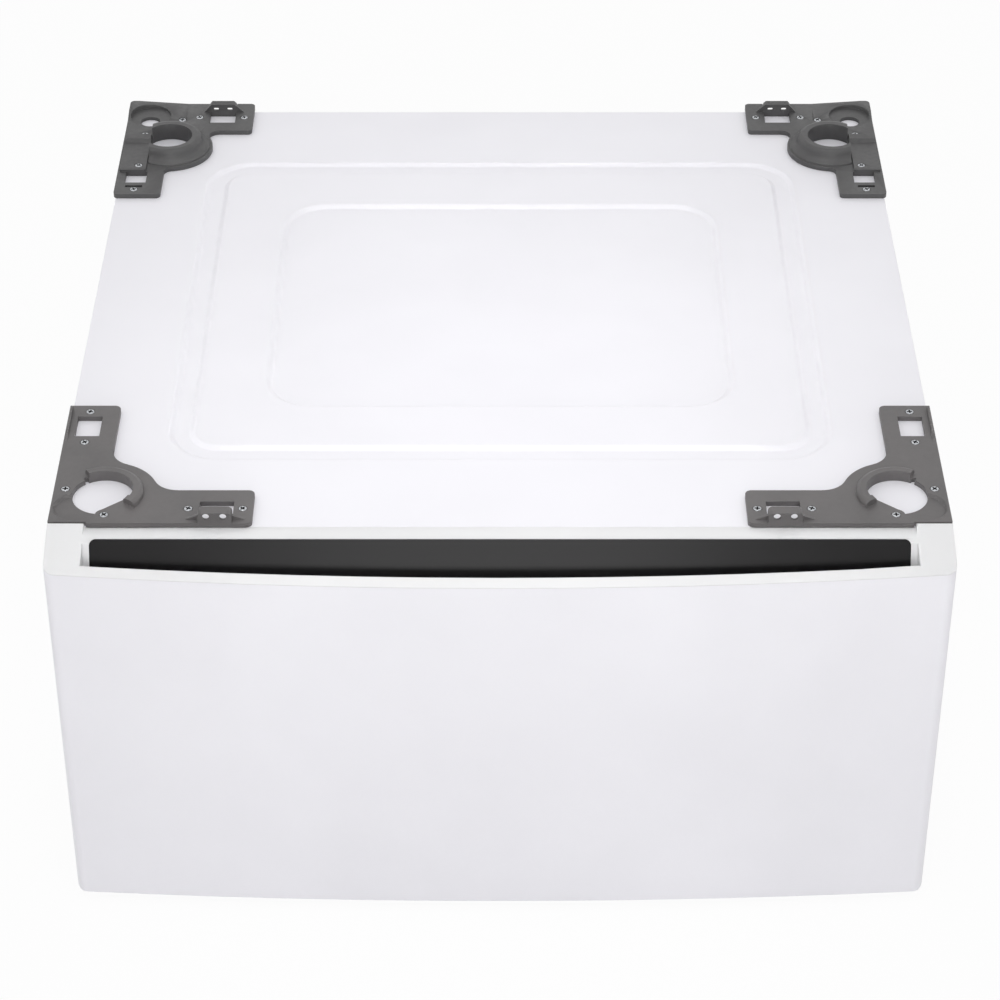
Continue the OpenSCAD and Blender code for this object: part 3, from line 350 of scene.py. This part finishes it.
# ------------------------------------------------------------------ corner brackets
# Glass-filled nylon mouldings, dark grey, with the dull spark-eroded grain of their mould,
# which is drawn at 0.8 mm, coarser than it is, so that it shows. The plates' outer edges
# are rounded over, and the fine features keep small radii.
# One nylon in two greys: the front row's lighter grey is painted light and the rear row's darker
# grey is painted shade, where the rows catch the light differently.
nylon_lit_per_row = {}
for row, low, high in (("front", "#5c5a5a", "#666363"), ("rear", "#474647", "#505050")):
    nylon_lit_per_row[row], tree = new_material(f"grey_moulded_nylon_{row}")
    surface(tree, between(tree, drift(tree, 50), low, high),
            between(tree, drift(tree, 4), 0.40, 0.52), grain(tree, 0.8, 0.035), IOR=1.53)

plate_thickness, rim_round = 4.4, 1.4      # millimetres
plate_top = (deck_top + plate_thickness) / 1000
longest_hole = 0.06                        # metres


def round_outline(bm):
    """Rounds over the upper rim of the plate's outline, which is the only chain of convex
    edges at that height that is longer than its longest hole."""
    rim = {edge for edge in bm.edges
           if all(abs(vert.co.z - plate_top) < 5 * same_place for vert in edge.verts)
           and edge.is_manifold and edge.is_convex
           and edge.calc_face_angle(0) > math.radians(60)}
    while rim:
        chain, queue = set(), [rim.pop()]
        while queue:
            edge = queue.pop()
            chain.add(edge)
            for vert in edge.verts:
                for other in vert.link_edges:
                    if other in rim:
                        rim.discard(other)
                        queue.append(other)
        corners = [vert.co for edge in chain for vert in edge.verts]
        reach = max(max(co[axis] for co in corners) - min(co[axis] for co in corners)
                    for axis in (0, 1))
        if reach > longest_hole:
            bmesh.ops.bevel(bm, geom=list(chain), offset=rim_round / 1000, segments=3,
                            offset_type="OFFSET", profile=0.5, affect="EDGES",
                            clamp_overlap=True, material=-1)
            return


for row, nylon in nylon_lit_per_row.items():
    left = f"bracket_{row}_left"
    eased_copy(left, "_moulding", nylon, edge_mm=0.2, first=round_outline)
    eased_copy(f"bracket_{row}_right", "_moulding", nylon, edge_mm=0.2, first=round_outline,
               mirror_of=left)


# ------------------------------------------------------------------ bracket and panel screws
# Cross-recessed pan-head screws, cold headed and rolled, then bright zinc plated. The plating
# gives a clean reflection with a slight blue, duller where the die has marked the steel. The
# cross recess is painted black as painted shade, where it lies in shadow.
zinc_plate, tree = new_material("bright_zinc_plate")
surface(tree, between(tree, drift(tree, 6), "#b6b9bd", "#ccced1"),
        between(tree, drift(tree, 2), 0.22, 0.34), grain(tree, 0.6, 0.006), Metallic=1.0)

# The recess's black is painted shade: the cross lies in shadow.
recess_painted_shade, tree = new_material("black_painted_recess_shade")
surface(tree, between(tree, drift(tree, 3), "#19191a", "#232324"),
        between(tree, drift(tree, 1), 0.45, 0.6), grain(tree, 0.4, 0.01), IOR=1.47)


def screw_mesh(head_r, head_h, shank_r, length):
    """A screw along Z in millimetres: its seat at 0, the head above and the shank below."""
    bm = bmesh.new()
    crown_r, arm, half = 0.74 * head_r, 0.68 * head_r, 0.2 * head_r
    recess_depth, recess_taper = 0.9 * head_h, 0.75
    bmesh.ops.create_circle(bm, segments=32, radius=crown_r)
    outer = bm.edges[:]
    corners = [(arm, -half), (arm, half), (half, half), (half, arm), (-half, arm),
               (-half, half), (-arm, half), (-arm, -half), (-half, -half), (-half, -arm),
               (half, -arm), (half, -half)]
    cross = [bm.verts.new((x, y, 0)) for x, y in corners]
    slot_edges = [bm.edges.new((cross[i - 1], cross[i])) for i in range(len(cross))]
    bmesh.ops.triangle_fill(bm, use_beauty=True, edges=outer + slot_edges)
    bmesh.ops.translate(bm, verts=bm.verts, vec=(0, 0, head_h))
    walls = bmesh.ops.extrude_edge_only(bm, edges=slot_edges)["geom"]
    floor_verts = [item for item in walls if isinstance(item, bmesh.types.BMVert)]
    bmesh.ops.scale(bm, verts=floor_verts, vec=(recess_taper, recess_taper, 1))
    bmesh.ops.translate(bm, verts=floor_verts, vec=(0, 0, -recess_depth))
    floor_edges = [edge for edge in walls if isinstance(edge, bmesh.types.BMEdge)]
    recess = bmesh.ops.edgeloop_fill(bm, edges=floor_edges)["faces"]
    # Slot 1 on the recess floor and walls is the painted shade.
    for face in recess + [item for item in walls if isinstance(item, bmesh.types.BMFace)]:
        face.material_index = 1
    # From the crown down: the head's rounded rim, its seat, and the shank to its end, each
    # ring as shares of the head's radius and height.
    ring = outer
    for radius, height in ((0.93, 0.86), (1.0, 0.6), (1.0, 0.0), (shank_r / head_r, 0.0),
                           (shank_r / head_r, -length / head_h)):
        grown = bmesh.ops.extrude_edge_only(bm, edges=ring)["geom"]
        ring = [item for item in grown if isinstance(item, bmesh.types.BMEdge)]
        for vert in [item for item in grown if isinstance(item, bmesh.types.BMVert)]:
            flat = Vector((vert.co.x, vert.co.y, 0)).normalized() * radius * head_r
            vert.co = (flat.x, flat.y, height * head_h)
    bmesh.ops.edgeloop_fill(bm, edges=ring)
    bmesh.ops.recalc_face_normals(bm, faces=bm.faces)
    mesh = bpy.data.meshes.new("one_screw")
    bm.to_mesh(mesh)
    bm.free()
    return mesh


def islands(node):
    """Lowest and highest corner, in millimetres, of each loose solid of a CAD node."""
    bm = bmesh.new()
    bm.from_mesh(frame["nodes"][node].data)
    bmesh.ops.remove_doubles(bm, verts=bm.verts, dist=weld_gap)
    found, seen = [], set()
    for start in bm.verts:
        if start in seen:
            continue
        seen.add(start)
        group, queue = [], [start]
        while queue:
            vert = queue.pop()
            group.append(vert.co * 1000)
            for edge in vert.link_edges:
                other = edge.other_vert(vert)
                if other not in seen:
                    seen.add(other)
                    queue.append(other)
        low = Vector(min(co[axis] for co in group) for axis in range(3))
        high = Vector(max(co[axis] for co in group) for axis in range(3))
        found.append((low, high))
    bm.free()
    return sorted(found, key=lambda pair: [round(value, 2) for value in (pair[0] + pair[1])])


def crease_and_scale(bm, name):
    """A mesh in metres from a shape in millimetres, smooth but for its creases."""
    bmesh.ops.scale(bm, verts=bm.verts, vec=(0.001, 0.001, 0.001))
    for face in bm.faces:
        face.smooth = True
    for edge in bm.edges:
        if edge.is_manifold and edge.calc_face_angle(0) > math.radians(35):
            edge.smooth = False
    mesh = bpy.data.meshes.new(name)
    bm.to_mesh(mesh)
    bm.free()
    return mesh


shank_r = 2
turn_per_screw = 37
heads_up = (2, Matrix.Identity(3))
heads_to_rear = (1, Matrix.Rotation(math.radians(-90), 3, "X"))


def cross_head_screws(node, heads, head_r, head_h, length):
    """A recessed screw in place of each solid of a node. heads gives the axis that its heads
    point along, and the turn from Z to there. No two recesses stand at the same angle."""
    axis, turn = heads
    single = screw_mesh(head_r, head_h, shank_r, length)
    bm = bmesh.new()
    for index, (low, high) in enumerate(islands(node)):
        seat = (low + high) / 2
        seat[axis] = high[axis] - head_h
        before = len(bm.verts)
        bm.from_mesh(single)
        bm.verts.ensure_lookup_table()
        new = bm.verts[before:]
        spun = Matrix.Rotation(math.radians(index * turn_per_screw), 3, "Z")
        bmesh.ops.transform(bm, matrix=(turn @ spun).to_4x4(), verts=new)
        bmesh.ops.translate(bm, verts=new, vec=seat)
    name = node + "_cross_head"
    piece = place_piece(name, crease_and_scale(bm, name), zinc_plate, node)
    # The second slot is the recess's painted shade.
    piece.data.materials.append(recess_painted_shade)


cross_head_screws("bracket_screws", heads_up, head_r=3.3, head_h=1.6, length=11)
cross_head_screws("panel_screws", heads_to_rear, head_r=4, head_h=1.8, length=10)


# ------------------------------------------------------------------ feet and nuts
# Rolled-thread studs and nuts, bright zinc plated, with dull black rubber pads pressed on
# below. The thread is one V-shaped tooth spun up the stud, round a plain core.
rubber, tree = new_material("black_moulded_rubber")
surface(tree, between(tree, drift(tree, 30), "#232324", "#2b2b2c"),
        between(tree, drift(tree, 8), 0.6, 0.75), grain(tree, 0.7, 0.03), IOR=1.52)

# Millimetres. The core stands a little into the thread's root, so that no gap shows.
thread_root, thread_crest, thread_pitch, thread_foot = 5.2, 5.9, 1.75, 14.5
flank_rise, crest_width = 0.75, 0.25
facets_per_turn = 28
core_foot, core_overlap, tip_taper = 13.5, 0.02, 0.8
nut_across_flats, nut_height, nut_middle = 18, 4.8, 12
nut_edge, nut_crease = 0.5, math.radians(30)

for row in ("front", "rear"):
    for side in ("left", "right"):
        eased_copy(f"foot_pad_{row}_{side}", "_rubber", rubber, edge_mm=0.6)
        stud = f"foot_stud_{row}_{side}"
        low, high = (corner * 1000 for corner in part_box(stud))
        turns = int((high.z - thread_foot) / thread_pitch) - 1
        bm = bmesh.new()
        tooth = [bm.verts.new((radius, 0, thread_foot + rise)) for radius, rise in
                 ((thread_root, 0), (thread_crest, flank_rise),
                  (thread_crest, flank_rise + crest_width), (thread_root, thread_pitch))]
        edges = [bm.edges.new(pair) for pair in zip(tooth, tooth[1:])]
        bmesh.ops.spin(bm, geom=tooth + edges, cent=(0, 0, 0), axis=(0, 0, 1),
                       dvec=(0, 0, thread_pitch / facets_per_turn),
                       angle=math.tau * turns, steps=facets_per_turn * turns)
        bmesh.ops.remove_doubles(bm, verts=bm.verts, dist=1e-4)
        bmesh.ops.recalc_face_normals(bm, faces=bm.faces)
        core = bmesh.ops.create_cone(bm, cap_ends=True, segments=32,
                                     radius1=thread_root + core_overlap,
                                     radius2=thread_root - tip_taper,
                                     depth=high.z - core_foot)["verts"]
        bmesh.ops.translate(bm, verts=core, vec=(0, 0, (high.z + core_foot) / 2))
        nut_r = nut_across_flats / math.sqrt(3)
        nut = bmesh.ops.create_cone(bm, cap_ends=True, segments=6, radius1=nut_r,
                                    radius2=nut_r, depth=nut_height)["verts"]
        bmesh.ops.rotate(bm, verts=nut, matrix=Matrix.Rotation(math.radians(30), 3, "Z"))
        bmesh.ops.translate(bm, verts=nut, vec=(0, 0, nut_middle))
        nut_edges = [edge for edge in bm.edges
                     if edge.verts[0] in nut and edge.calc_face_angle(0) > nut_crease]
        bmesh.ops.bevel(bm, geom=nut_edges, offset=nut_edge, offset_type="OFFSET",
                        segments=2, profile=0.5, affect="EDGES", clamp_overlap=True,
                        material=-1)
        bmesh.ops.translate(bm, verts=bm.verts,
                            vec=((low.x + high.x) / 2, (low.y + high.y) / 2, 0))
        name = stud + "_threaded"
        place_piece(name, crease_and_scale(bm, name), zinc_plate, stud)

for name in ("foot_nuts", "lock_nuts"):
    eased_copy(name, "_plated", zinc_plate, edge_mm=0.5)
eased_copy("bumpers", "_rubber", rubber, edge_mm=0.5)


# ------------------------------------------------------------------ ball slides
# Roll-formed steel members, bright zinc plated and riveted to the mounts. Hardened steel
# balls run between them in stamped cages, ground and lapped until they mirror what is near.
# Each inner member holds a release lever, moulded from black nylon with a dull grain.
for side in ("left", "right"):
    for member in ("outer", "middle", "inner"):
        eased_copy(f"slide_{member}_{side}", "_rolled", zinc_plate, edge_mm=0.3)

polished_steel, tree = new_material("polished_bearing_steel")
surface(tree, between(tree, drift(tree, 3), "#c4c6c8", "#cfd1d3"),
        between(tree, drift(tree, 1), 0.08, 0.14), grain(tree, 0.5, 0.002), Metallic=1.0)
black_nylon, tree = new_material("black_moulded_nylon")
surface(tree, between(tree, drift(tree, 30), "#1d1d1e", "#242425"),
        between(tree, drift(tree, 5), 0.42, 0.55), grain(tree, 0.8, 0.02), IOR=1.53)
for side in ("left", "right"):
    eased_copy("release_lever_" + side, "_moulded", black_nylon, edge_mm=0.4)
    for row in ("outer", "inner"):
        for part, finish in (("cage", galvanised_sheet), ("balls", polished_steel)):
            finishes = frame["nodes"][f"{row}_{part}_{side}"].data.materials
            finishes.clear()
            finishes.append(finish)
for name in ("slide_rivets", "lever_pins"):
    eased_copy(name, "_headed", zinc_plate, edge_mm=0.4)


# ------------------------------------------------------------------ drawer tray
# Galvanised sheet, roll formed, with rolled upper rims and pressed ribs in the floor, screwed
# to the front with the same kind of cross-recessed screws.
for name in ("tray_floor", "tray_side_left", "tray_side_right", "tray_back",
             "front_inner_plate"):
    eased_copy(name, "_sheet", galvanised_sheet, edge_mm=0.4)
cross_head_screws("tray_screws", heads_to_rear, head_r=4, head_h=2, length=8)


# ------------------------------------------------------------------ drawer front
# A bowed and folded steel panel, powder coated, closed at the top by a moulded white cap with
# the finger recess. The cap's edges are rounded over, so the lip catches a line of light.
cap_foot = 320                             # millimetres up from the floor


def is_below_cap(middle):
    """True for the panel's open edges and folds; its rim under the cap keeps a fine edge."""
    return middle.z < cap_foot


eased_copy("front_panel", "_bowed", powder_coat, edge_mm=0.2, wide_mm=0.5,
           is_wide=is_below_cap)

# The cap is ABS from a satin mould, a little duller than the panel's coat.
white_abs, tree = new_material("white_moulded_abs")
surface(tree, between(tree, drift(tree, 120), "#e3e3e4", "#e7e7e8"),
        between(tree, drift(tree, 40), 0.46, 0.52), grain(tree, 1.6, 0.006), IOR=1.5)

# Millimetres, with depths from the bowed front's foremost point.
front_y = cad_box[0][1] * 1000
cap_front_z, cap_slope = 325.2, math.tan(math.radians(18.9))
front_bow, front_half_width = 11.4, 334.6
slope_margin, upper_half_width, thin_edge = 0.6, 320, 5
strip_seat_start, strip_seat_end = 38.5, 42
post_x = 0.314                             # metres


def is_cap_edge(middle):
    """True for the crease, the lip's rear edge and the posts' inner edges, on the cap's
    upper side, but not for its thin bowed front edge or the seat of the handle strip."""
    depth = middle.y - front_y
    slope_z = cap_front_z + cap_slope * depth
    bow = front_bow * (middle.x / front_half_width) ** 2
    return (abs(middle.z - slope_z) < slope_margin and abs(middle.x) < upper_half_width
            and depth - bow > thin_edge and not strip_seat_start < depth < strip_seat_end)


def split_at_posts(bm):
    """Cuts the walls that run round the recess beside the two end posts, so that no face
    has a notch."""
    for x in (-post_x, post_x):
        bmesh.ops.bisect_plane(bm, geom=bm.verts[:] + bm.edges[:] + bm.faces[:],
                               plane_co=(x, 0, 0), plane_no=(1, 0, 0), dist=1e-6)


eased_copy("top_cap", "_moulding", white_abs, edge_mm=0.4, wide_mm=1.3,
           is_wide=is_cap_edge, segments=3, first=split_at_posts)


# ------------------------------------------------------------------ handle strip
# A plate of smoked acrylic set flush into the cap behind the finger recess. Its polish gives
# a clear reflection over a nearly black ground, held down by an anti-glare coat.
gloss_acrylic, tree = new_material("smoked_gloss_acrylic")
surface(tree, between(tree, drift(tree, 200), "#141314", "#181718"),
        between(tree, drift(tree, 60), 0.16, 0.2), grain(tree, 30, 0.004), IOR=1.29)
strip_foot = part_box("handle_strip")[0].z
# The 5 mm that the strip is carried on is painted shade over the pocket's rear wall.
strip_end, pocket_shade_reach = 0.0025, 0.005     # metres
strip_slope = math.radians(62)


def shade_pocket_wall(bm):
    """Carries the strip's lower end 5 mm on along its slope, over the pocket's rear wall, as
    painted shade: the strip's black stands where the wall lies in shadow.
    """
    lower = [vert for vert in bm.verts if vert.co.z < strip_foot + strip_end]
    bmesh.ops.translate(bm, verts=lower, vec=(0, -pocket_shade_reach * math.cos(strip_slope),
                                              -pocket_shade_reach * math.sin(strip_slope)))


# The strip's black, carried over the pocket wall, is painted shade there.
eased_copy("handle_strip", "_polished", gloss_acrylic, edge_mm=0.4,
           first=shade_pocket_wall)
